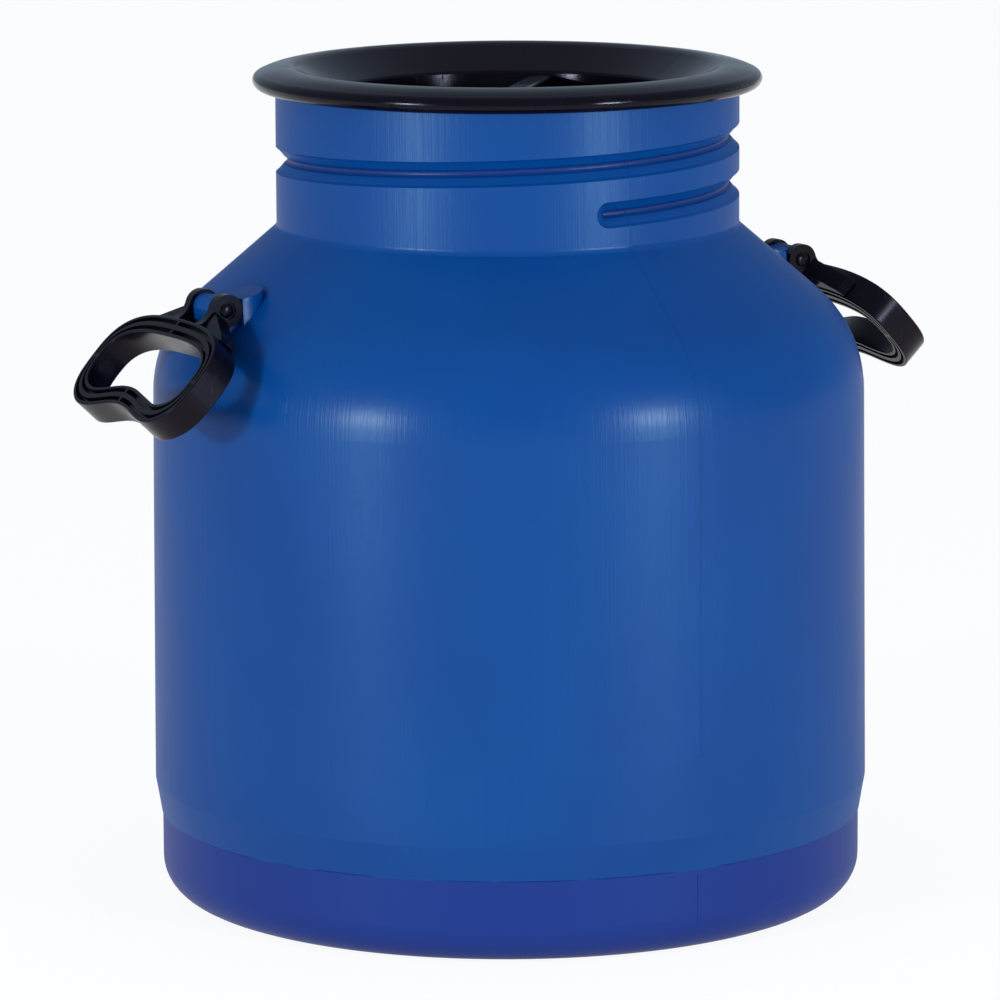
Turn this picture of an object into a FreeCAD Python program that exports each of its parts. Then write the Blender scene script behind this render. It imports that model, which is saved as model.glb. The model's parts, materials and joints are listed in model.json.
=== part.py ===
import FreeCAD, Part
import math
import os

from FreeCAD import Vector

# A 30 litre plastic milk can: a blow-moulded blue can, a black screw-in lid with a rolled
# rim and a recessed grip, and two black drop handles that hang on lugs of the shoulder.
# Millimetres, +Z up. The origin is on the can's axis, on the surface that it stands on.
# The handles hang on the -X and +X sides.

# ---- Can ----
BODY_RADIUS = 175.0            # widest, just above the base step
WALL_DRAW_IN = 1.4             # how much narrower the wall is where the shoulder begins
BASE_STEP = 3.4                # how much narrower the base band is
BASE_BAND_HEIGHT = 41.0        # where the base band ends in a fine ledge
BASE_LEDGE = 0.6               # how far the wall stands out at that ledge
STEP_RISE = 17.0               # from the ledge to where the wall has its full radius
BASE_CORNER = 18.0             # round from the base band to the underside
FOOT_RING_WIDTH = 15.6         # flat ring that the can stands on
FOOT_RISE_RUN = 16.0           # width of the slope inside that ring
FOOT_RISE = 7.0                # how far the underside is pushed up
SHOULDER_ANGLE = 40.9          # slope of the shoulder, in degrees from level
SHOULDER_ROUND = 62.0          # round from the wall to the shoulder
NECK_FOOT_HEIGHT = 329.5       # where the shoulder meets the neck
NECK_FOOT_ROUND = 3.5
NECK_RADIUS = 112.6
NECK_LENGTH = 66.7
NECK_WALL = 8.2                # wall of the neck, thickened as the lid's seat

# ---- Screw groove, pressed into the neck from outside ----
GROOVE_PITCH = 22.8
GROOVE_DEPTH = 5.6
GROOVE_HALF_WIDTH = 5.2        # from the middle to the lips
GROOVE_TIP = 2.0               # half-width of the rounded bottom
GROOVE_TIP_DEPTH = 1.6         # depth of the rounded bottom alone
GROOVE_LIP_WIDTH = 2.2         # rounded lip, along the neck
GROOVE_LIP_DEPTH = 1.3         # rounded lip, into the neck
GROOVE_START_ANGLE = 264.0     # degrees round from +X
GROOVE_START_BELOW_TOP = 50.0  # below the neck's top edge
GROOVE_TURNS = 1.36

# ---- Lid ----
PLUG_CLEARANCE = 0.4
PLUG_DEPTH = 43.0              # below the neck's top edge
PLUG_END_GAP = 1.0
RIM_OVERHANG = 11.1            # rolled rim beyond the neck
RIM_HEIGHT = 11.2              # from the neck's top edge to the crest
RIM_WAIST = 4.1                # height of the widest point above the neck's top edge
RIM_CREST_INSET = 16.5         # crest inside of the widest point
RIM_EDGE_RADIUS = 4.2          # tight round at the rim's outer edge
RIM_SEAT_WIDTH = 5.5           # flat under the rim, outside the neck
CREST_INNER_ROUND = 10.0       # round from the crest into the funnel
FUNNEL_ANGLE = 32.5            # slope of the funnel, in degrees from level
RECESS_EDGE_ROUND = 2.0
LID_WALL = 20.0                # from the recess to the plug's outside
FLOOR_THICKNESS = 4.0
GRIP_THICKNESS = 12.0
GRIP_TOP_BELOW_EDGE = 1.2
GRIP_ANGLE = 47.0              # degrees round from +X
GRIP_ROUND = 2.0

# ---- Handle lugs ----
PIVOT_INSET = 10.5             # inside the wall's top radius
PIVOT_RISE = 14.9              # above the slope of the shoulder
BARREL_RADIUS = 6.2
TONGUE_HALF_WIDTH = 8.6
STUD_RADIUS = 3.5
STUD_CLEARANCE = 0.08
STUD_LENGTH = 7.6              # into the tongue from each side
HOOD_RADIUS = 12.6             # plan radius at the hood's top
HOOD_FLARE = 3.4               # how much wider the hood is at its root
HOOD_CENTRE_INSET = 12.2       # its centre, inside the pivot
HOOD_BACK_RISE = 8.5           # its top above the pivot, at its back
HOOD_FRONT_RISE = 4.8          # the same, at its front
HOOD_EAR_GAP = 1.0

# ---- Handles ----
DROOP = 47.0                   # degrees below level, as the handle hangs on its stop
LOOP_HALF_WIDTH = 52.3
LOOP_HALF_LENGTH = 30.2
LOOP_NEAR_EDGE = 14.8          # from the pivot to the loop's nearest edge
LOOP_FRONT_RISE = 10.2         # the loop's outer face, above the pivot
BAND_DEPTH = 14.7
SIDE_WIDTH = 6.6               # the band's width at the loop's ends
GRIP_WIDTH = 10.6              # the same, at the grip and at the hinge side
LOOP_SQUARENESS = 2.9          # exponent of the loop's outline: 2 is an ellipse
GRIP_DIP = 9.0                 # inward wave in the middle of the grip
GRIP_DIP_HALF_SPAN = 41.0
BAND_RIB = 1.7                 # the two outer ribs along each face of the band
MIDDLE_RIB_SIDE = 1.2          # the rib between them, at the loop's ends
MIDDLE_RIB_GRIP = 2.6          # the same, at the grip and at the hinge side
CHANNEL_DEPTH = 3.2            # depth of the two channels between the ribs
CROSS_RIB = 1.6
BAND_EDGE_ROUND = 0.6
EAR_RADIUS = 7.9
EAR_THICKNESS = 5.0
EAR_SIDE_GAP = 0.4
EAR_WAIST_TOP = 6.0            # half-heights of the arm where it leaves the knuckle
EAR_WAIST_BOTTOM = 5.2
EAR_WAIST_SHARE = 0.62         # where the arm is slimmest, from the pivot to the band
EAR_BLEND = 60.0               # where the arm meets the knuckle, in degrees from its line
EAR_EYE_RADIUS = 4.4           # round sink over the stud
EAR_EYE_DEPTH = 0.9
ARM_STEP = 1.0                 # how far the arm stays inside the band's two faces
GUSSET_ROOT_SHARE = 0.55       # of the knuckle's radius
GUSSET_SPREAD = 23.0           # how far the gusset spreads along the band
GUSSET_TAPER = 4.0
STOP_GAP = 0.3
STOP_LENGTH = 6.5
STOP_INSET = 2.3               # the stop begins this far inside the band

# ---- Worked out ----
SLOPE = math.tan(math.radians(SHOULDER_ANGLE))
BODY_TOP_RADIUS = BODY_RADIUS - WALL_DRAW_IN
BASE_RADIUS = BODY_RADIUS - BASE_STEP
NECK_TOP_HEIGHT = NECK_FOOT_HEIGHT + NECK_LENGTH
BORE_RADIUS = NECK_RADIUS - NECK_WALL
PLUG_RADIUS = BORE_RADIUS - PLUG_CLEARANCE
PIVOT_RADIUS = BODY_TOP_RADIUS - PIVOT_INSET
PIVOT_HEIGHT = NECK_FOOT_HEIGHT - (PIVOT_RADIUS - NECK_RADIUS) * SLOPE + PIVOT_RISE
EAR_INNER = TONGUE_HALF_WIDTH + EAR_SIDE_GAP
EAR_OUTER = EAR_INNER + EAR_THICKNESS
LOOP_CENTRE_OUT = LOOP_NEAR_EDGE + LOOP_HALF_LENGTH
BAND_BACK = LOOP_FRONT_RISE - BAND_DEPTH
OVERCUT = 1.0                  # how far a cutting solid stands past what it cuts


def profile_face(start, *steps):
    """Closed face in the XZ plane. A step is a point, or (through, end) for an arc."""
    edges = []
    here = Vector(start[0], 0, start[1])
    first = here
    for step in steps:
        if isinstance(step[0], tuple):
            through = Vector(step[0][0], 0, step[0][1])
            end = Vector(step[1][0], 0, step[1][1])
            edges.append(Part.Arc(here, through, end).toShape())
        else:
            end = Vector(step[0], 0, step[1])
            edges.append(Part.LineSegment(here, end).toShape())
        here = end
    if (here - first).Length > 1e-6:
        edges.append(Part.LineSegment(here, first).toShape())
    return Part.Face(Part.Wire(edges))


def turned(face):
    """The face in the XZ plane, turned once round the can's axis."""
    return face.revolve(Vector(0, 0, 0), Vector(0, 0, 1), 360)


def on_circle(centre, radius, degrees):
    """Point on a circle in the XZ plane, as (x, z)."""
    angle = math.radians(degrees)
    return (centre[0] + radius * math.cos(angle), centre[1] + radius * math.sin(angle))


def can_blank():
    """The can's outline turned solid: base, step, wall, shoulder and neck."""
    corner = (BASE_RADIUS - BASE_CORNER, BASE_CORNER)
    ledge_radius = BASE_RADIUS + BASE_LEDGE
    edge_height = NECK_FOOT_HEIGHT - (BODY_TOP_RADIUS - NECK_RADIUS) * SLOPE
    tangent = SHOULDER_ROUND * math.tan(math.radians(90 - SHOULDER_ANGLE) / 2)
    round_centre = (BODY_TOP_RADIUS - SHOULDER_ROUND, edge_height - tangent)
    foot_tangent = NECK_FOOT_ROUND * math.tan(math.radians(90 - SHOULDER_ANGLE) / 2)
    foot_centre = (NECK_RADIUS + NECK_FOOT_ROUND, NECK_FOOT_HEIGHT + foot_tangent)
    return turned(profile_face(
        (0, FOOT_RISE),
        (corner[0] - FOOT_RING_WIDTH - FOOT_RISE_RUN, FOOT_RISE),
        (corner[0] - FOOT_RING_WIDTH, 0),
        (corner[0], 0),
        (on_circle(corner, BASE_CORNER, -45), (BASE_RADIUS, BASE_CORNER)),
        (BASE_RADIUS, BASE_BAND_HEIGHT),
        (ledge_radius, BASE_BAND_HEIGHT + BASE_LEDGE),
        (BODY_RADIUS, BASE_BAND_HEIGHT + STEP_RISE),
        (BODY_TOP_RADIUS, round_centre[1]),
        (
            on_circle(round_centre, SHOULDER_ROUND, (90 - SHOULDER_ANGLE) / 2),
            on_circle(round_centre, SHOULDER_ROUND, 90 - SHOULDER_ANGLE),
        ),
        on_circle(foot_centre, NECK_FOOT_ROUND, 270 - SHOULDER_ANGLE),
        (
            on_circle(foot_centre, NECK_FOOT_ROUND, 225 - SHOULDER_ANGLE / 2),
            (NECK_RADIUS, foot_centre[1]),
        ),
        (NECK_RADIUS, NECK_TOP_HEIGHT),
        (0, NECK_TOP_HEIGHT),
    ))


def groove_section():
    """Closed wire of the groove's section at +X: rounded lips, slanted flanks, round bottom."""
    outside = NECK_RADIUS + OVERCUT
    bottom = NECK_RADIUS - GROOVE_DEPTH
    flank_end = bottom + GROOVE_TIP_DEPTH
    lip_end = NECK_RADIUS - GROOVE_LIP_DEPTH
    lip_start = GROOVE_HALF_WIDTH + GROOVE_LIP_WIDTH
    lip_middle = (NECK_RADIUS - GROOVE_LIP_DEPTH / 4, GROOVE_HALF_WIDTH + GROOVE_LIP_WIDTH / 3)

    def at(x, z):
        return Vector(x, 0, z)

    lower = [at(outside, -lip_start), at(lip_end, -GROOVE_HALF_WIDTH), at(flank_end, -GROOVE_TIP)]
    upper = [at(flank_end, GROOVE_TIP), at(lip_end, GROOVE_HALF_WIDTH), at(outside, lip_start)]
    return Part.Wire([
        Part.Arc(lower[0], at(lip_middle[0], -lip_middle[1]), lower[1]).toShape(),
        Part.LineSegment(lower[1], lower[2]).toShape(),
        Part.Arc(lower[2], at(bottom, 0), upper[0]).toShape(),
        Part.LineSegment(upper[0], upper[1]).toShape(),
        Part.Arc(upper[1], at(*lip_middle), upper[2]).toShape(),
        Part.LineSegment(upper[2], lower[0]).toShape(),
    ])


def screw_groove():
    """What the groove takes away: a swept helix, and a half-round end at each end of it."""
    height = GROOVE_PITCH * GROOVE_TURNS
    helix = Part.makeHelix(GROOVE_PITCH, height, NECK_RADIUS)
    sweep = Part.BRepOffsetAPI.MakePipeShell(Part.Wire(helix.Edges))
    sweep.setBiNormalMode(Vector(0, 0, 1))
    sweep.add(groove_section(), False, False)
    sweep.build()
    sweep.makeSolid()
    reach = 2 * GROOVE_PITCH
    upper_half = Part.makeBox(reach, 1, reach, Vector(NECK_RADIUS - reach / 2, -0.5, 0))
    half = Part.Face(groove_section()).common(upper_half).Faces[0]
    near_end = half.revolve(Vector(0, 0, 0), Vector(1, 0, 0), 180)
    far_end = half.revolve(Vector(0, 0, 0), Vector(1, 0, 0), -180)
    far_end.translate(Vector(0, 0, height))
    far_end.rotate(Vector(0, 0, 0), Vector(0, 0, 1), 360 * GROOVE_TURNS)
    cutters = [sweep.shape(), near_end, far_end]
    for cutter in cutters:
        cutter.rotate(Vector(0, 0, 0), Vector(0, 0, 1), GROOVE_START_ANGLE)
        cutter.translate(Vector(0, 0, NECK_TOP_HEIGHT - GROOVE_START_BELOW_TOP))
    return cutters


def from_pivot(out, rise):
    """Place in the XZ plane of a point given from the pivot, in the hanging handle's axes."""
    droop = math.radians(DROOP)
    x = PIVOT_RADIUS + out * math.cos(droop) + rise * math.sin(droop)
    z = PIVOT_HEIGHT - out * math.sin(droop) + rise * math.cos(droop)
    return (x, z)


def slab(face, half_width):
    """The face in the XZ plane, drawn out to both sides along Y."""
    face.translate(Vector(0, -half_width, 0))
    return face.extrude(Vector(0, 2 * half_width, 0))


def turned_half(shape):
    """A copy on the opposite side of the can."""
    opposite = shape.copy()
    opposite.rotate(Vector(0, 0, 0), Vector(0, 0, 1), 180)
    return opposite


def lug():
    """The lug on the +X side: hood, tongue with the pivot's barrel, and the handle's stop."""
    pivot = (PIVOT_RADIUS, PIVOT_HEIGHT)
    hood_x = PIVOT_RADIUS - HOOD_CENTRE_INSET
    hood_back = (hood_x - HOOD_RADIUS, PIVOT_HEIGHT + HOOD_BACK_RISE)
    hood_front = (PIVOT_RADIUS - EAR_RADIUS - HOOD_EAR_GAP, PIVOT_HEIGHT + HOOD_FRONT_RISE)
    root = PIVOT_HEIGHT - 2 * PIVOT_RISE
    hood_height = HOOD_BACK_RISE + 2 * PIVOT_RISE
    root_radius = HOOD_RADIUS + HOOD_FLARE
    hood = Part.makeCone(root_radius, HOOD_RADIUS, hood_height, Vector(hood_x, 0, root))
    hood_side = profile_face(
        (hood_back[0] - root_radius, root), (hood_front[0], root), hood_front,
        hood_back, (hood_back[0] - root_radius, hood_back[1]))
    hood = hood.common(slab(hood_side, root_radius))
    stop_rise = BAND_BACK - STOP_GAP
    stop_near = LOOP_NEAR_EDGE - STOP_INSET
    tongue = slab(profile_face(
        (hood_x, root + PIVOT_RISE / 2),
        (hood_x, hood_front[1]),
        hood_front,
        on_circle(pivot, BARREL_RADIUS, 120),
        (on_circle(pivot, BARREL_RADIUS, 60), on_circle(pivot, BARREL_RADIUS, 0)),
        from_pivot(stop_near, stop_rise),
        from_pivot(stop_near + STOP_LENGTH, stop_rise),
        from_pivot(stop_near + STOP_LENGTH, stop_rise - PIVOT_RISE),
    ), TONGUE_HALF_WIDTH)
    return hood.fuse(tongue)


def can():
    """The blue can: one moulding with its lugs, the screw groove and the lid's seat."""
    solid = can_blank()
    for cutter in screw_groove():
        solid = solid.cut(cutter)
    bore_depth = PLUG_DEPTH + PLUG_END_GAP
    mouth = Part.makeCylinder(
        BORE_RADIUS, bore_depth, Vector(0, 0, NECK_TOP_HEIGHT - bore_depth))
    stud_bore = Part.makeCylinder(
        STUD_RADIUS + STUD_CLEARANCE, 2 * (TONGUE_HALF_WIDTH + OVERCUT),
        Vector(PIVOT_RADIUS, -TONGUE_HALF_WIDTH - OVERCUT, PIVOT_HEIGHT), Vector(0, 1, 0))
    lugs = [lug(), turned_half(lug())]
    return solid.cut(mouth).fuse(lugs).cut([stud_bore, turned_half(stud_bore)])


def oval_quarter(middle, half_width, half_height, edge_radius):
    """Two tangent arcs from the side of an oval up to its top, the first of the edge radius."""
    top_radius = ((half_width - edge_radius) ** 2 + half_height ** 2 - edge_radius ** 2) / (
        2 * (half_height - edge_radius))
    edge_centre = (middle[0] + half_width - edge_radius, middle[1])
    top_centre = (middle[0], middle[1] + half_height - top_radius)
    turn = math.degrees(math.atan2(edge_centre[1] - top_centre[1], half_width - edge_radius))
    return [
        (
            on_circle(edge_centre, edge_radius, turn / 2),
            on_circle(edge_centre, edge_radius, turn),
        ),
        (
            on_circle(top_centre, top_radius, (turn + 90) / 2),
            on_circle(top_centre, top_radius, 90),
        ),
    ]


def lid():
    """The black lid: plug, rolled rim, funnel and the recess with its grip bar."""
    recess_radius = PLUG_RADIUS - LID_WALL
    widest = NECK_RADIUS + RIM_OVERHANG
    seat_edge = NECK_RADIUS + RIM_SEAT_WIDTH
    waist = (widest, NECK_TOP_HEIGHT + RIM_WAIST)
    crest = (widest - RIM_CREST_INSET, NECK_TOP_HEIGHT + RIM_HEIGHT)
    under = math.sqrt(0.5)
    below_waist = (
        seat_edge + (widest - seat_edge) * under, waist[1] - RIM_WAIST * under)
    plug_bottom = NECK_TOP_HEIGHT - PLUG_DEPTH
    floor = plug_bottom + FLOOR_THICKNESS
    inner_centre = (crest[0], crest[1] - CREST_INNER_ROUND)
    funnel_top = on_circle(inner_centre, CREST_INNER_ROUND, 90 + FUNNEL_ANGLE)
    funnel_run = funnel_top[0] - recess_radius
    edge_height = funnel_top[1] - funnel_run * math.tan(math.radians(FUNNEL_ANGLE))
    edge_tangent = RECESS_EDGE_ROUND * math.tan(math.radians(90 - FUNNEL_ANGLE) / 2)
    edge_centre = (recess_radius + RECESS_EDGE_ROUND, edge_height - edge_tangent)
    blank = turned(profile_face(
        (0, plug_bottom),
        (PLUG_RADIUS, plug_bottom),
        (PLUG_RADIUS, NECK_TOP_HEIGHT),
        (seat_edge, NECK_TOP_HEIGHT),
        (below_waist, waist),
        *oval_quarter(
            (crest[0], waist[1]), RIM_CREST_INSET, RIM_HEIGHT - RIM_WAIST, RIM_EDGE_RADIUS),
        (on_circle(inner_centre, CREST_INNER_ROUND, 90 + FUNNEL_ANGLE / 2), funnel_top),
        on_circle(edge_centre, RECESS_EDGE_ROUND, 90 + FUNNEL_ANGLE),
        (
            on_circle(edge_centre, RECESS_EDGE_ROUND, 135 + FUNNEL_ANGLE / 2),
            (recess_radius, edge_centre[1]),
        ),
        (recess_radius, floor),
        (0, floor),
    ))
    grip_height = edge_height - GRIP_TOP_BELOW_EDGE - floor
    grip_reach = recess_radius + OVERCUT
    grip = Part.makeBox(
        2 * grip_reach, GRIP_THICKNESS, grip_height,
        Vector(-grip_reach, -GRIP_THICKNESS / 2, floor))
    top_edges = [
        edge for edge in grip.Edges
        if edge.BoundBox.ZMin > floor + grip_height / 2 and edge.BoundBox.XLength > grip_reach
    ]
    grip = grip.makeFillet(GRIP_ROUND, top_edges)
    grip.rotate(Vector(0, 0, 0), Vector(0, 0, 1), GRIP_ANGLE)
    return blank.fuse(grip)


def loop_wire(inset_side, inset_end, rise):
    """The handle's outline in its own axes, drawn in by the two insets. X out, Y across."""
    half_width = LOOP_HALF_WIDTH - inset_side
    half_length = LOOP_HALF_LENGTH - inset_end
    power = 2 / LOOP_SQUARENESS
    count = 48
    points = []
    for index in range(count):
        angle = 2 * math.pi * (index + 0.5) / count
        across = math.copysign(abs(math.cos(angle)) ** power, math.cos(angle)) * half_width
        out = math.copysign(abs(math.sin(angle)) ** power, math.sin(angle)) * half_length
        if out > 0 and abs(across) < GRIP_DIP_HALF_SPAN:
            wave = (1 + math.cos(math.pi * across / GRIP_DIP_HALF_SPAN)) / 2
            out -= GRIP_DIP * wave * out / half_length
        points.append(Vector(LOOP_CENTRE_OUT + out, across, rise))
    curve = Part.BSplineCurve()
    curve.interpolate(Points=points, PeriodicFlag=True)
    return Part.Wire(curve.toShape())


def loop_prism(inset_side, inset_end, bottom, top):
    """The outline drawn in by the insets, as a solid from one height to another."""
    return Part.Face(loop_wire(inset_side, inset_end, bottom)).extrude(
        Vector(0, 0, top - bottom))


def loop_ring(outer, inner, bottom, top):
    """What lies between two outlines. Each is a pair of insets, at the sides and the ends."""
    return loop_prism(*outer, bottom, top).cut(loop_prism(*inner, bottom, top))


def channels(bottom, top):
    """The two channels between the three ribs of one face of the band, less its cross ribs."""
    outer = (BAND_RIB, BAND_RIB)
    middle_out = ((SIDE_WIDTH - MIDDLE_RIB_SIDE) / 2, (GRIP_WIDTH - MIDDLE_RIB_GRIP) / 2)
    middle_in = ((SIDE_WIDTH + MIDDLE_RIB_SIDE) / 2, (GRIP_WIDTH + MIDDLE_RIB_GRIP) / 2)
    inner = (SIDE_WIDTH - BAND_RIB, GRIP_WIDTH - BAND_RIB)
    height = top - bottom
    reach = 2 * LOOP_HALF_WIDTH
    along = Part.makeBox(
        reach, CROSS_RIB, height, Vector(LOOP_CENTRE_OUT - reach / 2, -CROSS_RIB / 2, bottom))
    across = Part.makeBox(
        CROSS_RIB, 2 * reach, height, Vector(LOOP_CENTRE_OUT - CROSS_RIB / 2, -reach, bottom))
    return [
        loop_ring(outer, middle_out, bottom, top).cut([along, across]),
        loop_ring(middle_in, inner, bottom, top).cut([along, across]),
    ]


def ear():
    """One ear of the handle, on its +Y side: knuckle with its eye, arm, gusset and stud."""
    waist = LOOP_NEAR_EDGE * EAR_WAIST_SHARE
    reach = LOOP_NEAR_EDGE + BAND_RIB
    side = profile_face(
        on_circle((0, 0), EAR_RADIUS, EAR_BLEND),
        (on_circle((0, 0), EAR_RADIUS, 180), on_circle((0, 0), EAR_RADIUS, -EAR_BLEND)),
        ((waist, -EAR_WAIST_BOTTOM), (reach, BAND_BACK + ARM_STEP / 4)),
        (reach, LOOP_FRONT_RISE - ARM_STEP),
        ((waist, EAR_WAIST_TOP), on_circle((0, 0), EAR_RADIUS, EAR_BLEND)),
    )
    side.translate(Vector(0, EAR_INNER, 0))
    arm = side.extrude(Vector(0, EAR_THICKNESS, 0))
    eye = Part.makeCylinder(
        EAR_EYE_RADIUS, EAR_EYE_DEPTH + OVERCUT,
        Vector(0, EAR_OUTER - EAR_EYE_DEPTH, 0), Vector(0, 1, 0))
    gusset_bottom = BAND_BACK + ARM_STEP / 2
    gusset_root = EAR_RADIUS * GUSSET_ROOT_SHARE
    inside = EAR_OUTER - EAR_THICKNESS / 2
    tip = EAR_OUTER + GUSSET_SPREAD
    gusset = Part.Face(Part.makePolygon([
        Vector(gusset_root, inside, gusset_bottom),
        Vector(gusset_root, EAR_OUTER, gusset_bottom),
        Vector(LOOP_NEAR_EDGE, tip - GUSSET_TAPER, gusset_bottom),
        Vector(reach + BAND_RIB, tip, gusset_bottom),
        Vector(reach, inside, gusset_bottom),
        Vector(gusset_root, inside, gusset_bottom),
    ])).extrude(Vector(0, 0, EAR_WAIST_BOTTOM - gusset_bottom))
    stud_top = EAR_INNER + EAR_THICKNESS / 4
    stud = Part.makeCylinder(
        STUD_RADIUS, stud_top - TONGUE_HALF_WIDTH + STUD_LENGTH, Vector(0, stud_top, 0),
        Vector(0, -1, 0))
    return [arm.cut(eye), gusset, stud]


def handle():
    """The black drop handle in its own axes: pivot at the origin, X out, Y across."""
    band = loop_prism(0, 0, BAND_BACK, LOOP_FRONT_RISE)
    opening = loop_prism(SIDE_WIDTH, GRIP_WIDTH, BAND_BACK - OVERCUT, LOOP_FRONT_RISE + OVERCUT)
    band = band.cut(opening)
    rims = [edge for edge in band.Edges if edge.BoundBox.ZLength < BAND_EDGE_ROUND]
    band = band.makeFillet(BAND_EDGE_ROUND, rims)
    band = band.cut(
        channels(LOOP_FRONT_RISE - CHANNEL_DEPTH, LOOP_FRONT_RISE + OVERCUT)
        + channels(BAND_BACK - OVERCUT, BAND_BACK + CHANNEL_DEPTH))
    pieces = ear()
    mirrored = [piece.mirror(Vector(0, 0, 0), Vector(0, 1, 0)) for piece in pieces]
    return band.fuse(pieces + mirrored)


def hung(shape):
    """The handle on the +X lug, hanging on its stop."""
    placed = shape.copy()
    placed.rotate(Vector(0, 0, 0), Vector(0, 1, 0), DROOP)
    placed.translate(Vector(PIVOT_RADIUS, 0, PIVOT_HEIGHT))
    return placed


os.makedirs("parts", exist_ok=True)
right_handle = hung(handle())
nodes = {
    "can": can(),
    "lid": lid(),
    "handle_left": turned_half(right_handle),
    "handle_right": right_handle,
}
for name, shape in nodes.items():
    shape.exportStep("parts/%s.step" % name)
    print(name, "valid" if shape.isValid() else "NOT VALID", len(shape.Solids), "solid,",
          round(shape.Volume / 1000, 1), "cm3")
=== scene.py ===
"""Looks of a 30 litre plastic milk can: blow-moulded blue can, black screw lid and two drop handles."""

import json
import logging
import math
from collections.abc import Callable
from dataclasses import dataclass, field, replace
from enum import Enum

import bmesh
import bpy
from mathutils import Matrix, Vector


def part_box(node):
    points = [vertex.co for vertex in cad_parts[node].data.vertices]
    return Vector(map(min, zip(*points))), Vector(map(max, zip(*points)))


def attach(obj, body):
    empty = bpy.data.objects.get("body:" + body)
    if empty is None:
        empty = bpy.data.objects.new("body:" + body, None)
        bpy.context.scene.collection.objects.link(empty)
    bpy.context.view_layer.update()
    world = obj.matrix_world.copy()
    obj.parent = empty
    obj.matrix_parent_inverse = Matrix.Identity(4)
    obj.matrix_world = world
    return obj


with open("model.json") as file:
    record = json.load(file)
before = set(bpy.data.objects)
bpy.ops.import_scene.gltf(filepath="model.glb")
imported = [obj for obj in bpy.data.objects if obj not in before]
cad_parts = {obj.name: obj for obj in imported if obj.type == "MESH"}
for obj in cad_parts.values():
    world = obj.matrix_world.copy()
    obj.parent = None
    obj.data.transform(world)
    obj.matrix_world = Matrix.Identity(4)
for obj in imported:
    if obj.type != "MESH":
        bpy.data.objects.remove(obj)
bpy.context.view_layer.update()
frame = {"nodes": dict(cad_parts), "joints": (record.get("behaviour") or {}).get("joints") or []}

Colour = tuple[float, float, float]
Span = tuple[float, float]
Stretch = tuple[float, float, float]

LOG = logging.getLogger("milk_can")
MM = 0.001
WELD = 0.001 * MM
FULL: Span = (0.0, 1.0)
ONE_OCTAVE = 1.0
FRONT_AZIMUTH = 270.0


class Side(Enum):
    """The side of the can that a handle hangs on, as the sign of X."""

    LEFT = -1
    RIGHT = 1


class Seam(Enum):
    """The front or the back of the can, as the sign of Y."""

    FRONT = -1
    BACK = 1


class Texture(Enum):
    """The kinds of noise texture that the finishes use."""

    NOISE = "ShaderNodeTexNoise"
    CELLS = "ShaderNodeTexVoronoi"


def rgba(colour: Colour) -> tuple[float, float, float, float]:
    """Returns the colour with full opacity, as a node socket takes it."""
    return (*colour, 1.0)


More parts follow.
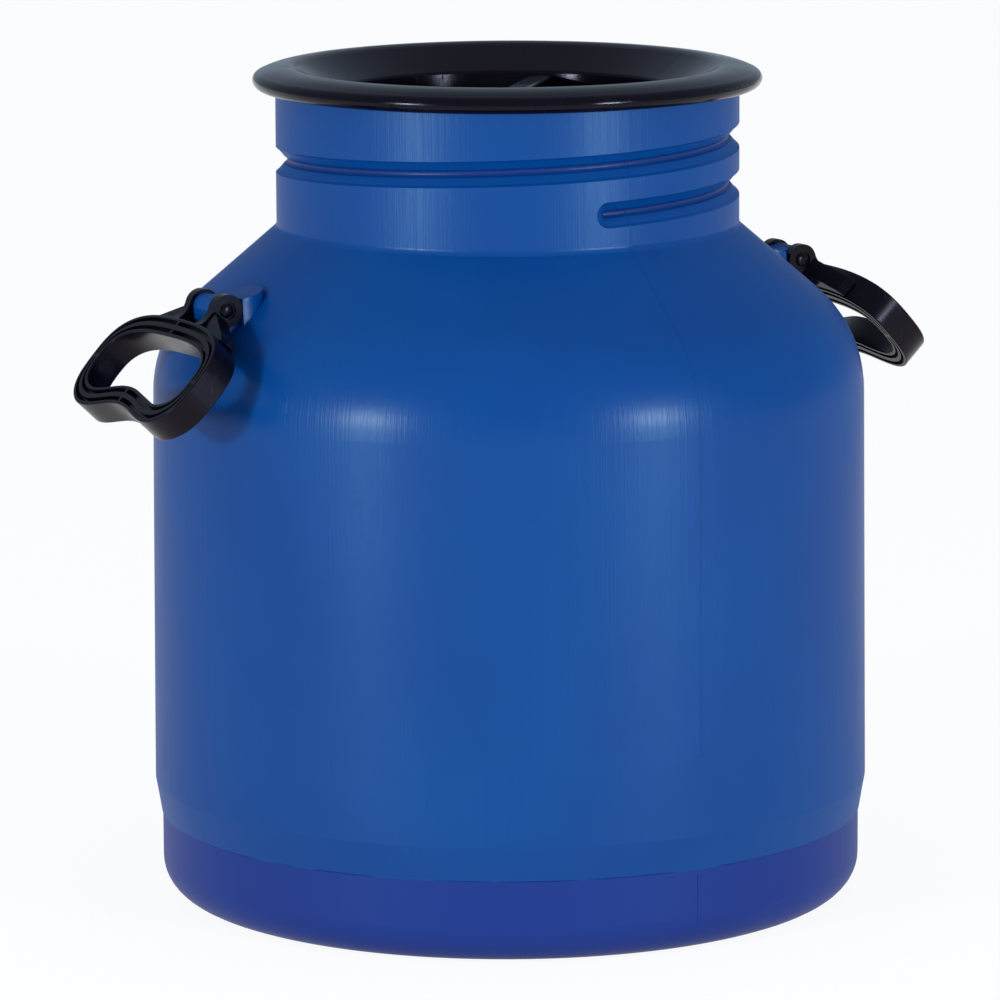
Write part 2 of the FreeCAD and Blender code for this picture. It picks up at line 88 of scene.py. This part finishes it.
class Bench:
    """A new node material with short methods that add and join its nodes."""

    def __init__(self, name: str) -> None:
        """Makes an empty material with a Principled surface.

        Args:
            name: Name of the material.
        """
        self.material = bpy.data.materials.new(name)
        self.material.use_nodes = True
        self.nodes = self.material.node_tree.nodes
        self.links = self.material.node_tree.links
        self.surface = self.nodes["Principled BSDF"]

    def join(self, source: bpy.types.NodeSocket, target: bpy.types.NodeSocket) -> None:
        """Joins an output socket to an input socket."""
        self.links.new(source, target)

    def feed(self, node: bpy.types.Node, inputs: dict) -> None:
        """Sets a node's inputs.

        Args:
            node: The node to set.
            inputs: Socket name or number, to a plain value or an output socket.
        """
        for key, value in inputs.items():
            if isinstance(value, bpy.types.NodeSocket):
                self.join(value, node.inputs[key])
            else:
                node.inputs[key].default_value = value

    def place(self) -> bpy.types.NodeSocket:
        """Returns the object coordinates, in metres."""
        return self.nodes.new("ShaderNodeTexCoord").outputs["Object"]

    def math(self, operation: str, *values: object) -> bpy.types.NodeSocket:
        """Adds a Math node.

        Args:
            operation: Name of the operation.
            values: Its inputs, as numbers or sockets.

        Returns:
            The node's value.
        """
        node = self.nodes.new("ShaderNodeMath")
        node.operation = operation
        self.feed(node, dict(enumerate(values)))
        return node.outputs[0]

    def vector(self, operation: str, *values: object) -> bpy.types.NodeSocket:
        """Adds a Vector Math node.

        Args:
            operation: Name of the operation.
            values: Its inputs, as vectors or sockets.

        Returns:
            The node's vector.
        """
        node = self.nodes.new("ShaderNodeVectorMath")
        node.operation = operation
        self.feed(node, dict(enumerate(values)))
        return node.outputs["Vector"]

    def apart(self, vector: bpy.types.NodeSocket) -> list[bpy.types.NodeSocket]:
        """Takes a vector apart.

        Args:
            vector: The vector.

        Returns:
            Its X, Y and Z.
        """
        node = self.nodes.new("ShaderNodeSeparateXYZ")
        self.join(vector, node.inputs[0])
        return list(node.outputs)

    def texture(
        self, kind: Texture, where: bpy.types.NodeSocket, scale: float, detail: float
    ) -> bpy.types.NodeSocket:
        """Adds a texture.

        Args:
            kind: Which texture.
            where: The coordinates that it reads.
            scale: Cells per unit of those coordinates.
            detail: Octaves of finer noise.

        Returns:
            The texture's value, or the distance from the middle of its cell.
        """
        node = self.nodes.new(kind.value)
        self.feed(node, {"Vector": where, "Scale": scale, "Detail": detail})
        return node.outputs[0]

    def remap(
        self, value: bpy.types.NodeSocket, source: Span, result: Span = FULL
    ) -> bpy.types.NodeSocket:
        """Maps a value from one span to another, smoothly and held at both ends.

        Args:
            value: The value to map.
            source: Its span.
            result: What the two ends of that span give.

        Returns:
            The mapped value.
        """
        node = self.nodes.new("ShaderNodeMapRange")
        node.interpolation_type = "SMOOTHSTEP"
        self.feed(node, {0: value, 1: source[0], 2: source[1], 3: result[0], 4: result[1]})
        return node.outputs[0]

    def fade(self, value: bpy.types.NodeSocket, source: Span) -> bpy.types.NodeSocket:
        """Maps a value that rises over a span to one that falls from 1 to 0."""
        return self.remap(value, source, FULL[::-1])

    def noise(
        self, where: bpy.types.NodeSocket, scale: float, detail: float = 2.0
    ) -> bpy.types.NodeSocket:
        """Adds soft noise and returns its value."""
        return self.texture(Texture.NOISE, where, scale, detail)

    def product(self, first: object, second: object) -> bpy.types.NodeSocket:
        """Multiplies two numbers or sockets."""
        return self.math("MULTIPLY", first, second)

    def blend(self, share: object, first: object, second: object) -> bpy.types.NodeSocket:
        """Mixes two colours.

        Args:
            share: Share of the second, as a number or socket.
            first: Colour or socket at share 0.
            second: Colour or socket at share 1.

        Returns:
            The mixed colour.
        """
        node = self.nodes.new("ShaderNodeMix")
        node.data_type = "RGBA"
        self.feed(node, {0: share, 6: first, 7: second})
        return node.outputs[2]

    def relief(
        self, height: bpy.types.NodeSocket, depth: float, below: bpy.types.NodeSocket | None = None
    ) -> bpy.types.NodeSocket:
        """Adds a bump.

        Args:
            height: Height from 0 to 1.
            depth: What a height of 1 stands for, in metres.
            below: Normal that the bump is laid over.

        Returns:
            The bumped normal.
        """
        node = self.nodes.new("ShaderNodeBump")
        self.feed(node, {"Strength": 1.0, "Distance": depth, "Height": height})
        if below is not None:
            self.join(below, node.inputs["Normal"])
        return node.outputs[0]

    def round_the_axis(self, where: bpy.types.NodeSocket, cells: Span) -> bpy.types.NodeSocket:
        """Coordinates whose pattern runs straight up the can at every radius.

        Args:
            where: Object coordinates.
            cells: Cells in one radius of arc, and cells per metre of height.

        Returns:
            The coordinates.
        """
        around, up = cells
        flat = self.vector("NORMALIZE", self.vector("MULTIPLY", where, (1.0, 1.0, 0.0)))
        turned = self.vector("MULTIPLY", flat, (around, around, 0.0))
        raised = self.vector("MULTIPLY", where, (0.0, 0.0, up))
        return self.vector("ADD", turned, raised)

    def distance_from_axis(
        self, x: bpy.types.NodeSocket, y: bpy.types.NodeSocket
    ) -> bpy.types.NodeSocket:
        """Distance of a point from the can's axis.

        Args:
            x: The point's X.
            y: The point's Y.

        Returns:
            The distance, in metres.
        """
        return self.math("SQRT", self.math("ADD", self.product(x, x), self.product(y, y)))


@dataclass(frozen=True)
class BlownBlue:
    """Satin blow-moulded polyethylene, with die lines, fine pebble, scuffs and a darker foot band.

    A scale is in cells per metre. A span says between which values of its texture a mark fades in.
    """

    colour: Colour = (0.0004, 0.064, 0.272)
    pale: Colour = (0.0006, 0.075, 0.296)
    band: Colour = (0.008, 0.038, 0.245)
    # Painted shade: dark purple laid into the deepest part of the neck's groove, where shade falls
    # under its lip.
    painted_groove_shade: Colour = (0.008, 0.014, 0.120)
    scraped: Colour = (0.020, 0.150, 0.450)
    roughness: float = 0.42
    roughness_spread: float = 0.05
    specular: float = 0.02
    skin: float = 0.14
    skin_index: float = 2.2
    skin_roughness: float = 0.30

    patch_scale: float = 9.0
    patch_detail: float = 3.0
    patch_pale: Span = (0.35, 0.70)
    patch_rough: Span = (0.30, 0.70)
    wave_scale: float = 18.0
    wave_depth: float = 0.35 * MM
    pebble_scale: float = 800.0
    pebble_stretch: Stretch = (1.0, 1.0, 0.4)
    pebble_depth: float = 0.030 * MM
    line_cells: Span = (150.0, 7.0)
    line_span: Span = (0.42, 0.72)
    line_patches: Span = (0.30, 0.62)
    line_depth: float = 0.035 * MM
    fine_line_cells: Span = (330.0, 60.0)
    fine_line_depth: float = 0.030 * MM

    nick_cells: Span = (60.0, 95.0)
    nick_size: Span = (0.03, 0.06)
    nick_patches: Span = (0.56, 0.62)
    nick_share: float = 0.5
    nick_depth: float = 0.08 * MM

    band_top: float = 41.3 * MM
    band_blur: float = 0.4 * MM
    flash_width: Span = (0.25 * MM, 0.55 * MM)
    flash_scale: float = 38.0
    flash_span: Span = (0.46, 0.60)
    flash_share: float = 0.55
    # Where the painted shade lies: above these heights and inside these radii, in the deepest part of
    # the neck's groove.
    painted_shade_heights: Span = (335.0 * MM, 337.0 * MM)
    painted_shade_radii: Span = (107.4 * MM, 108.6 * MM)
    painted_shade_share: float = 0.6

    def make(self) -> bpy.types.Material:
        """Builds the can's material.

        Returns:
            The material.
        """
        bench = Bench("blown_blue")
        where = bench.place()
        patches = bench.noise(where, self.patch_scale, self.patch_detail)
        streaks = self.streaks(bench, where, patches)
        nicks = self.nicks(bench, where, patches)
        normal = self.surface_relief(bench, where, streaks, nicks)
        spread = (self.roughness - self.roughness_spread, self.roughness + self.roughness_spread)
        rise = bench.product(streaks, self.roughness_spread)
        bench.feed(bench.surface, {
            "Base Color": self.colouring(bench, where, patches, nicks),
            "Roughness": bench.math("ADD", bench.remap(patches, self.patch_rough, spread), rise),
            "Specular IOR Level": self.specular,
            "Coat Weight": self.skin,
            "Coat IOR": self.skin_index,
            "Coat Roughness": bench.math("ADD", rise, self.skin_roughness),
            "Normal": normal,
            "Coat Normal": normal,
        })
        return bench.material

    def streaks(
        self, bench: Bench, where: bpy.types.NodeSocket, patches: bpy.types.NodeSocket
    ) -> bpy.types.NodeSocket:
        """Upright die lines, which come and go in patches.

        Args:
            bench: The material's bench.
            where: Object coordinates.
            patches: Large soft patches.

        Returns:
            How far each point is in a line, from 0 to 1.
        """
        lines = bench.noise(bench.round_the_axis(where, self.line_cells), 1.0)
        return bench.product(
            bench.remap(lines, self.line_span), bench.remap(patches, self.line_patches))

    def nicks(
        self, bench: Bench, where: bpy.types.NodeSocket, patches: bpy.types.NodeSocket
    ) -> bpy.types.NodeSocket:
        """Small nicks, which lie together in the palest patches.

        Args:
            bench: The material's bench.
            where: Object coordinates.
            patches: Large soft patches.

        Returns:
            How far each point is in a nick, from 0 to 1.
        """
        cells = bench.texture(Texture.CELLS, bench.round_the_axis(where, self.nick_cells), 1.0, 0.0)
        return bench.product(
            bench.fade(cells, self.nick_size), bench.remap(patches, self.nick_patches))

    def colouring(
        self,
        bench: Bench,
        where: bpy.types.NodeSocket,
        patches: bpy.types.NodeSocket,
        nicks: bpy.types.NodeSocket,
    ) -> bpy.types.NodeSocket:
        """Colour with the foot band, painted shade in the groove, the nicks and the band's flash line.

        Args:
            bench: The material's bench.
            where: Object coordinates.
            patches: Large soft patches.
            nicks: How far each point is in a nick.

        Returns:
            The colour.
        """
        x, y, height = bench.apart(where)
        colour = bench.blend(
            bench.remap(patches, self.patch_pale), rgba(self.colour), rgba(self.pale))
        band_edge = (self.band_top - self.band_blur, self.band_top + self.band_blur)
        colour = bench.blend(bench.fade(height, band_edge), colour, rgba(self.band))
        # Painted shade: darkens the deepest part of the neck's groove, where shade falls.
        painted_shade_mask = bench.product(
            bench.remap(height, self.painted_shade_heights),
            bench.fade(bench.distance_from_axis(x, y), self.painted_shade_radii))
        colour = bench.blend(bench.product(painted_shade_mask, self.painted_shade_share), colour, rgba(self.painted_groove_shade))
        colour = bench.blend(bench.product(nicks, self.nick_share), colour, rgba(self.scraped))
        off_line = bench.math("ABSOLUTE", bench.math("SUBTRACT", height, self.band_top))
        flash = bench.product(
            bench.fade(off_line, self.flash_width),
            bench.remap(bench.noise(where, self.flash_scale), self.flash_span))
        return bench.blend(bench.product(flash, self.flash_share), colour, rgba(self.scraped))

    def surface_relief(
        self,
        bench: Bench,
        where: bpy.types.NodeSocket,
        streaks: bpy.types.NodeSocket,
        nicks: bpy.types.NodeSocket,
    ) -> bpy.types.NodeSocket:
        """Waves of the wall with the die lines, the pebble and the nicks laid over them.

        Args:
            bench: The material's bench.
            where: Object coordinates.
            streaks: How far each point is in a die line.
            nicks: How far each point is in a nick.

        Returns:
            The bumped normal.
        """
        wave = bench.noise(where, self.wave_scale, ONE_OCTAVE)
        fine_lines = bench.noise(bench.round_the_axis(where, self.fine_line_cells), 1.0, ONE_OCTAVE)
        pebble = bench.noise(
            bench.vector("MULTIPLY", where, self.pebble_stretch), self.pebble_scale)
        normal = bench.relief(wave, self.wave_depth)
        normal = bench.relief(streaks, self.line_depth, normal)
        normal = bench.relief(fine_lines, self.fine_line_depth, normal)
        normal = bench.relief(pebble, self.pebble_depth, normal)
        return bench.relief(nicks, -self.nick_depth, normal)


@dataclass(frozen=True)
class MouldedBlack:
    """Black injection-moulded polyethylene, with faint flow marks and handling scuffs."""

    name: str
    roughness: float
    scuff: float
    colour: Colour = (0.0042, 0.0024, 0.0056)
    worn: Colour = (0.024, 0.019, 0.028)
    specular: float = 0.16
    specular_tint: Colour = (0.95, 0.80, 0.95)
    smoother: float = 0.03
    rougher: float = 0.04
    scuff_roughness: float = 0.18
    patch_scale: float = 45.0
    patch_detail: float = 4.0
    patch_rough: Span = (0.30, 0.70)
    patch_scuffs: Span = (0.48, 0.62)
    rub_scale: float = 700.0
    rub_stretch: Stretch = (1.0, 1.0, 0.2)
    rub_span: Span = (0.55, 0.75)
    flow_scale: float = 30.0
    flow_depth: float = 0.10 * MM
    grain_scale: float = 900.0
    grain_depth: float = 0.006 * MM

    def make(self) -> bpy.types.Material:
        """Builds the black material.

        Returns:
            The material.
        """
        bench = Bench(self.name)
        where = bench.place()
        patches = bench.noise(where, self.patch_scale, self.patch_detail)
        rubbed = bench.noise(bench.vector("MULTIPLY", where, self.rub_stretch), self.rub_scale)
        scuffs = bench.product(
            bench.remap(rubbed, self.rub_span), bench.remap(patches, self.patch_scuffs))
        spread = (self.roughness - self.smoother, self.roughness + self.rougher)
        rough = bench.math(
            "ADD", bench.remap(patches, self.patch_rough, spread),
            bench.product(scuffs, self.scuff_roughness))
        normal = bench.relief(bench.noise(where, self.flow_scale, ONE_OCTAVE), self.flow_depth)
        normal = bench.relief(bench.noise(where, self.grain_scale), self.grain_depth, normal)
        bench.feed(bench.surface, {
            "Base Color": bench.blend(
                bench.product(scuffs, self.scuff), rgba(self.colour), rgba(self.worn)),
            "Roughness": rough,
            "Specular IOR Level": self.specular,
            "Specular Tint": rgba(self.specular_tint),
            "Normal": normal,
        })
        return bench.material


@dataclass(frozen=True)
class PaleFloor:
    """Plain pale floor that the camera sees as white, with the object's soft shadow on it."""

    colour: Colour = (0.72, 0.72, 0.72)
    roughness: float = 0.9
    specular: float = 0.0
    glow: float = 0.80
    brightness: float = 1.14

    def make(self) -> bpy.types.Material:
        """Builds the floor's material.

        Returns:
            The material.
        """
        bench = Bench("pale_floor")
        self_lit = bench.nodes.new("ShaderNodeEmission")
        self_lit.inputs["Strength"].default_value = self.brightness
        paths = bench.nodes.new("ShaderNodeLightPath").outputs
        seen = bench.math("MAXIMUM", paths["Is Camera Ray"], paths["Is Transmission Ray"])
        seen = bench.math("MAXIMUM", seen, paths["Is Glossy Ray"])
        bench.feed(bench.surface, {
            "Base Color": rgba(self.colour),
            "Roughness": self.roughness,
            "Specular IOR Level": self.specular,
        })
        mixer = bench.nodes.new("ShaderNodeMixShader")
        bench.feed(mixer, {
            0: bench.product(seen, self.glow),
            1: bench.surface.outputs[0],
            2: self_lit.outputs[0],
        })
        bench.join(mixer.outputs[0], bench.nodes["Material Output"].inputs["Surface"])
        return bench.material


@dataclass
class Workshop:
    """What every sub-assembly needs to shape a mesh, dress it and set it riding."""

    body: str = "vessel"
    smooth_angle: float = math.radians(40)

    def select(self, piece: bpy.types.Object) -> None:
        """Makes a piece the only one selected.

        Args:
            piece: The piece.
        """
        bpy.ops.object.select_all(action="DESELECT")
        piece.select_set(True)
        bpy.context.view_layer.objects.active = piece

    def started(self, name: str) -> bpy.types.Object:
        """Names the primitive that was just added and opens it in edit mode.

        Args:
            name: Name of the piece.

        Returns:
            The piece, with all of its mesh selected.
        """
        piece = bpy.context.object
        piece.name = name
        piece.data.name = name
        bpy.ops.object.mode_set(mode="EDIT")
        bpy.ops.mesh.select_all(action="SELECT")
        return piece

    def pick(self, piece: bpy.types.Object, wanted: Callable[[bmesh.types.BMFace], bool]) -> None:
        """Selects the faces that a test accepts.

        Args:
            piece: The piece, in edit mode.
            wanted: Takes a face and says whether it is selected.
        """
        bpy.ops.mesh.select_mode(type="FACE")
        bpy.ops.mesh.select_all(action="DESELECT")
        shape = bmesh.from_edit_mesh(piece.data)
        for face in shape.faces:
            face.select_set(bool(wanted(face)))
        bmesh.update_edit_mesh(piece.data)

    def modify(self, piece: bpy.types.Object, kind: str, **settings: object) -> None:
        """Adds a modifier and applies it.

        Args:
            piece: The piece, in object mode.
            kind: Kind of modifier.
            settings: Its settings by name.
        """
        modifier = piece.modifiers.new(kind.lower(), kind)
        for key, value in settings.items():
            setattr(modifier, key, value)
        self.select(piece)
        bpy.ops.object.modifier_apply(modifier=modifier.name)

    def settle(self, piece: bpy.types.Object) -> None:
        """Applies a piece's place, welds its doubles, turns its faces out and smooths it.

        Args:
            piece: The piece, in object mode.
        """
        self.select(piece)
        bpy.ops.object.transform_apply(location=True, rotation=True, scale=True)
        bpy.ops.object.mode_set(mode="EDIT")
        bpy.ops.mesh.select_all(action="SELECT")
        bpy.ops.mesh.remove_doubles(threshold=WELD)
        bpy.ops.mesh.normals_make_consistent(inside=False)
        bpy.ops.object.mode_set(mode="OBJECT")
        bpy.ops.object.shade_smooth_by_angle(angle=self.smooth_angle)

    def dress(self, piece: bpy.types.Object, material: bpy.types.Material) -> None:
        """Gives a piece one material all over."""
        piece.data.materials.clear()
        piece.data.materials.append(material)

    def fit(self, piece: bpy.types.Object, material: bpy.types.Material, slot: str) -> None:
        """Dresses a new piece and sets it riding on this assembly's body.

        Args:
            piece: The finished piece.
            material: What it is dressed in.
            slot: The record's material slot; not used.
        """
        self.dress(piece, material)
        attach(piece, self.body)
        self.report(piece)

    def report(self, piece: bpy.types.Object) -> None:
        """Takes a piece and does nothing with it."""


@dataclass
class Vessel(Workshop):
    """The blue can with its parting ridges and the pinch-off bar of its underside."""

    node: str = "can"
    slot: str = "can_blue"
    finish: BlownBlue = field(default_factory=BlownBlue)
    ridge_width: float = 0.7 * MM
    ridge_stand: float = 0.22 * MM
    ridge_start: float = 96 * MM
    ridge_top_gap: float = 1.5 * MM
    ridge_foot: Span = (14 * MM, 39 * MM)
    ridge_step: float = 1.2 * MM
    ridge_reach: float = 200 * MM
    ridge_corner: float = math.radians(60)
    pinch_length: float = 196 * MM
    pinch_width: float = 3.2 * MM
    pinch_height: float = 1.4 * MM
    pinch_sink: float = 0.1 * MM
    pinch_taper: Stretch = (0.55, 0.97, 1.0)
    pinch_inset: float = 0.35 * MM
    pinch_round: float = 0.25 * MM
    underside: float = 7 * MM

    def build(self) -> None:
        """Dresses the can and builds what its mould leaves on it."""
        can = frame["nodes"][self.node]
        material = self.finish.make()
        self.dress(can, material)
        self.report(can)
        neck_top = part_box(self.node)[1].z
        spans = {"upper": (self.ridge_start, neck_top - self.ridge_top_gap), "lower": self.ridge_foot}
        for seam in Seam:
            for name, (low, high) in spans.items():
                ridge = self.parting_ridge(can, seam, name, low, high)
                self.fit(ridge, material, self.slot)
        self.fit(self.pinch_off(), material, self.slot)

    def parting_ridge(
        self, can: bpy.types.Object, seam: Seam, name: str, low: float, high: float
    ) -> bpy.types.Object:
        """Fine ridge where the two mould halves met, laid on the can's wall.

        Args:
            can: The can that the ridge lies on.
            seam: Side of the can.
            name: Word for this stretch.
            low: Height of its lower end.
            high: Height of its upper end.

        Returns:
            The ridge.
        """
        rows = round((high - low) / self.ridge_step)
        bpy.ops.mesh.primitive_grid_add(
            x_subdivisions=2, y_subdivisions=rows, size=1.0,
            location=(0.0, seam.value * self.ridge_reach, (low + high) / 2),
            rotation=(math.radians(90.0), 0.0, 0.0))
        ridge = self.started(f"parting_ridge_{seam.name.lower()}_{name}")
        bpy.ops.transform.resize(value=(self.ridge_width, 1.0, high - low))
        bpy.ops.object.mode_set(mode="OBJECT")
        self.select(ridge)
        bpy.ops.object.transform_apply(location=True, rotation=True, scale=True)
        self.modify(
            ridge, "SHRINKWRAP", target=can, wrap_method="PROJECT", use_project_x=False,
            use_project_y=True, use_negative_direction=True, use_positive_direction=True)
        self.modify(ridge, "SOLIDIFY", thickness=2 * self.ridge_stand, offset=0.0)
        self.modify(
            ridge, "BEVEL", width=self.ridge_stand / 2, segments=1, limit_method="ANGLE",
            angle_limit=self.ridge_corner)
        self.settle(ridge)
        return ridge

    def pinch_off(self) -> bpy.types.Object:
        """Bar left where the mould pinched the underside shut.

        Returns:
            The bar.
        """
        middle = self.underside - self.pinch_height / 2 + self.pinch_sink
        bpy.ops.mesh.primitive_cube_add(size=1.0, location=(0.0, 0.0, middle))
        bar = self.started("pinch_off")
        bpy.ops.transform.resize(value=(self.pinch_width, self.pinch_length, self.pinch_height))
        self.pick(bar, lambda face: face.normal.z < -0.5)
        bpy.ops.transform.resize(value=self.pinch_taper)
        bpy.ops.mesh.inset(thickness=self.pinch_inset, depth=self.pinch_round)
        bpy.ops.mesh.select_all(action="SELECT")
        bpy.ops.mesh.bevel(offset=self.pinch_round, segments=2, affect="EDGES")
        bpy.ops.object.mode_set(mode="OBJECT")
        self.settle(bar)
        return bar


@dataclass
class PlugLid(Workshop):
    """The black screw lid with its rolled rim, recessed grip and tapered recess wall."""

    node: str = "lid"
    slot: str = "fittings_black"
    finish: MouldedBlack = field(default_factory=lambda: MouldedBlack("gloss_black", 0.15, 0.35))
    recess_radius: float = 84.0 * MM
    recess_low: float = 357.2 * MM
    recess_high: float = 393.4 * MM
    wall_clearance: float = 0.15 * MM
    wall_taper: float = math.radians(6.0)
    wall_thickness: float = 0.3 * MM
    wall_sides: int = 160

    def build(self) -> None:
        """Dresses the lid and builds the tapered wall of its recess."""
        lid = frame["nodes"][self.node]
        material = self.finish.make()
        self.dress(lid, material)
        self.report(lid)
        self.fit(self.recess_wall(), material, self.slot)

    def recess_wall(self) -> bpy.types.Object:
        """Recess's wall, which narrows to the floor so that the mould comes out.

        Returns:
            The wall.
        """
        depth = self.recess_high - self.recess_low
        middle = (self.recess_low + self.recess_high) / 2
        top = self.recess_radius - self.wall_clearance - self.wall_thickness
        bpy.ops.mesh.primitive_cone_add(
            vertices=self.wall_sides, radius1=top - depth * math.tan(self.wall_taper), radius2=top,
            depth=depth, end_fill_type="NOTHING", location=(0.0, 0.0, middle))
        wall = self.started("recess_wall")
        bpy.ops.object.mode_set(mode="OBJECT")
        self.modify(wall, "SOLIDIFY", thickness=self.wall_thickness, offset=1.0)
        self.settle(wall)
        return wall


@dataclass
class DropHandle(Workshop):
    """A black drop handle with the domed heads of its studs."""

    side: Side = Side.LEFT
    slot: str = "fittings_black"
    finish: MouldedBlack = field(default_factory=lambda: MouldedBlack("handled_black", 0.24, 0.8))
    head_radius: float = 3.4 * MM
    head_rise: float = 1.5 * MM
    head_sides: int = 32
    head_skirt: float = 0.35
    head_dome: tuple[Span, ...] = ((0.88, 0.22), (0.80, 0.18), (0.62, 0.13), (0.45, 0.07))
    ear_outside: float = 14.0 * MM
    eye_depth: float = 0.9 * MM

    def build(self) -> None:
        """Dresses the handle on this side and builds its stud heads."""
        word = self.side.name.lower()
        self.body = word + "_handle"
        handle = frame["nodes"]["handle_" + word]
        material = self.finish.make()
        self.dress(handle, material)
        self.report(handle)
        for seam in Seam:
            head = self.stud_head(f"stud_head_{word}_{seam.name.lower()}", seam)
            self.fit(head, material, self.slot)

    def stud_head(self, name: str, seam: Seam) -> bpy.types.Object:
        """Domed head of a stud, seated in the eye of its ear.

        Args:
            name: Name of the piece.
            seam: Side of the handle that the ear is on.

        Returns:
            The head.
        """
        pivot = next(
            Vector(joint["pos_m"]) for joint in frame["joints"] if joint["child"] == self.body)
        seat = pivot + Vector((0.0, seam.value * (self.ear_outside - self.eye_depth), 0.0))
        bpy.ops.mesh.primitive_circle_add(
            vertices=self.head_sides, radius=self.head_radius, fill_type="NGON", location=seat,
            rotation=(seam.value * math.radians(-90.0), 0.0, 0.0))
        head = self.started(name)
        out = Vector((0.0, seam.value, 0.0))
        bpy.ops.mesh.extrude_region_move(
            TRANSFORM_OT_translate={"value": out * self.head_rise * self.head_skirt})
        for share, rise in self.head_dome:
            bpy.ops.mesh.extrude_region_move(
                TRANSFORM_OT_translate={"value": out * self.head_rise * rise})
            bpy.ops.transform.resize(value=(share, 1.0, share))
        bpy.ops.object.mode_set(mode="OBJECT")
        self.settle(head)
        return head


@dataclass(frozen=True)
class Lamp:
    """A soft box, placed by its angles and its distance from the aim."""

    name: str
    elevation: float
    width: float
    height: float
    power: float
    colour: Colour = (0.70, 0.90, 1.0)
    azimuth: float = 0.0
    distance: float = 2.1

    def build(self, aim: Vector) -> None:
        """Hangs the lamp and turns it to the aim.

        Args:
            aim: Point that the lamp faces.
        """
        data = bpy.data.lights.new(self.name, "AREA")
        data.shape = "RECTANGLE"
        data.size = self.width
        data.size_y = self.height
        data.energy = self.power
        data.color = self.colour
        lamp = bpy.data.objects.new(self.name, data)
        turn = math.radians(self.azimuth)
        rise = math.radians(self.elevation)
        away = Vector((
            math.cos(turn) * math.cos(rise), math.sin(turn) * math.cos(rise), math.sin(rise)))
        lamp.location = aim + away * self.distance
        lamp.rotation_euler = away.to_track_quat("Z", "Y").to_euler()
        bpy.context.scene.collection.objects.link(lamp)


@dataclass(frozen=True)
class Studio:
    """Floor, soft light and camera, with angles in degrees."""

    camera_distance: float = 3.0549
    camera_height: float = 0.7321
    camera_pitch: float = 10.017
    camera_yaw: float = 0.084
    camera_roll: float = -0.272
    camera_turn: float = -31.0
    lens: float = 227.65
    sensor_width: float = 36.0
    floor_size: float = 40.0
    aim: Vector = field(default_factory=lambda: Vector((0.0, 0.0, 0.24)))
    sky: Colour = (0.64, 0.80, 1.0)
    sky_strength: float = 0.50
    box: Lamp = Lamp("box", 8.5, 0.30, 0.18, 14.5)
    strip: Lamp = Lamp("strip", -2.0, 0.22, 0.30, 4.0, (0.35, 0.85, 1.0))
    left_turn: float = -44.0
    right_turn: float = 45.5

    def lamps(self) -> list[Lamp]:
        """Places both kinds of soft box to the left and the right of the camera.

        Returns:
            The soft boxes.
        """
        facing = FRONT_AZIMUTH + self.camera_turn
        turns = {"left": self.left_turn, "right": self.right_turn}
        return [
            replace(kind, name=f"{kind.name}_{word}", azimuth=facing + turn)
            for kind in (self.box, self.strip)
            for word, turn in turns.items()
        ]

    def build(self) -> None:
        """Builds the floor, the light and the camera."""
        self.lay_floor()
        self.light()
        self.set_camera()

    def lay_floor(self) -> None:
        """Lays the pale floor."""
        bpy.ops.mesh.primitive_plane_add(size=self.floor_size)
        floor = bpy.context.object
        floor.name = "floor"
        floor.data.materials.append(PaleFloor().make())

    def light(self) -> None:
        """Fills the air with soft light and hangs the lamps."""
        world = bpy.data.worlds.new("studio_air")
        world.use_nodes = True
        background = world.node_tree.nodes["Background"]
        background.inputs["Color"].default_value = rgba(self.sky)
        background.inputs["Strength"].default_value = self.sky_strength
        bpy.context.scene.world = world
        for lamp in self.lamps():
            lamp.build(self.aim)

    def set_camera(self) -> None:
        """Stands the camera round the can and turns it by yaw, pitch and roll."""
        data = bpy.data.cameras.new("camera")
        data.lens = self.lens
        data.sensor_width = self.sensor_width
        camera = bpy.data.objects.new("camera", data)
        bpy.context.scene.collection.objects.link(camera)
        turned = Matrix.Rotation(math.radians(self.camera_turn), 4, "Z")
        stand = Matrix.Translation((0.0, -self.camera_distance, self.camera_height))
        look = (
            Matrix.Rotation(math.radians(self.camera_yaw), 4, "Z")
            @ Matrix.Rotation(math.radians(90.0 - self.camera_pitch), 4, "X")
            @ Matrix.Rotation(math.radians(self.camera_roll), 4, "Z")
        )
        camera.matrix_world = turned @ stand @ look
        bpy.context.scene.camera = camera
        bpy.context.scene.view_settings.view_transform = "Standard"


def main() -> None:
    logging.basicConfig(level=logging.INFO, format="%(name)s: %(message)s")
    bpy.ops.object.select_all(action="DESELECT")
    Vessel().build()
    PlugLid().build()
    for side in Side:
        DropHandle(side=side).build()
    Studio().build()


if __name__ == "__main__":
    main()
